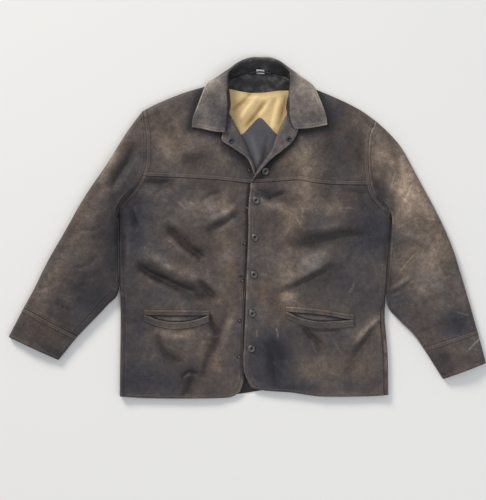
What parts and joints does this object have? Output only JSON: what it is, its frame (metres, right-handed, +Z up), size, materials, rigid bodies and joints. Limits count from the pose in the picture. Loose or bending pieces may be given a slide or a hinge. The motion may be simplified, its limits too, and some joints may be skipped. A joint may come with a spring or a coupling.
{
  "type": "worn leather coat",
  "caption": "Hip-length worn leather coat lying flat on its back, snap front closed edge to edge, collar and lapels open, slit pockets, cuffed sleeves.",
  "frame": {"origin": "middle of the coat's outline, on the surface that it lies on", "axes": "+X across the coat to the wearer's left, +Y from the hem to the collar, +Z up out of the surface"},
  "size_m": [1.0954, 0.7833, 0.0298],
  "materials": {
    "oiled nubuck": "worn, matt, rubbed to patches",
    "neck leather": "smooth, slightly shiny",
    "pocket leather": "matt",
    "cotton yoke lining": "brushed cotton",
    "wool lining": "plain woven, matt",
    "label satin": "woven, bare",
    "aged snap metal": "dark, worn at the rim"
  },
  "bodies": {
    "root": {"back": "oiled nubuck", "right_front": "oiled nubuck", "left_front": "oiled nubuck", "right_yoke": "oiled nubuck", "left_yoke": "oiled nubuck", "right_facing": "oiled nubuck", "left_facing": "oiled nubuck", "right_top_sleeve": "oiled nubuck", "left_top_sleeve": "oiled nubuck", "right_under_sleeve": "oiled nubuck", "left_under_sleeve": "oiled nubuck", "right_cuff": "oiled nubuck", "left_cuff": "oiled nubuck", "collar": "oiled nubuck", "pocket_right_upper_welt": "oiled nubuck", "pocket_right_lower_welt": "oiled nubuck", "pocket_right_bag": "pocket leather", "pocket_left_upper_welt": "oiled nubuck", "pocket_left_lower_welt": "oiled nubuck", "pocket_left_bag": "pocket leather", "lining_yoke": "cotton yoke lining", "lining_body": "wool lining", "neck_facing": "neck leather", "hanger_loop": "neck leather", "label": "label satin", "snap_cap_1": "aged snap metal", "snap_cap_2": "aged snap metal", "snap_cap_3": "aged snap metal", "snap_cap_4": "aged snap metal", "snap_cap_5": "aged snap metal", "snap_cap_6": "aged snap metal", "snap_cap_7": "aged snap metal", "snap_stud_1": "aged snap metal", "snap_stud_2": "aged snap metal", "snap_stud_3": "aged snap metal", "snap_stud_4": "aged snap metal", "snap_stud_5": "aged snap metal", "snap_stud_6": "aged snap metal", "snap_stud_7": "aged snap metal"}
  },
  "joints": []
}
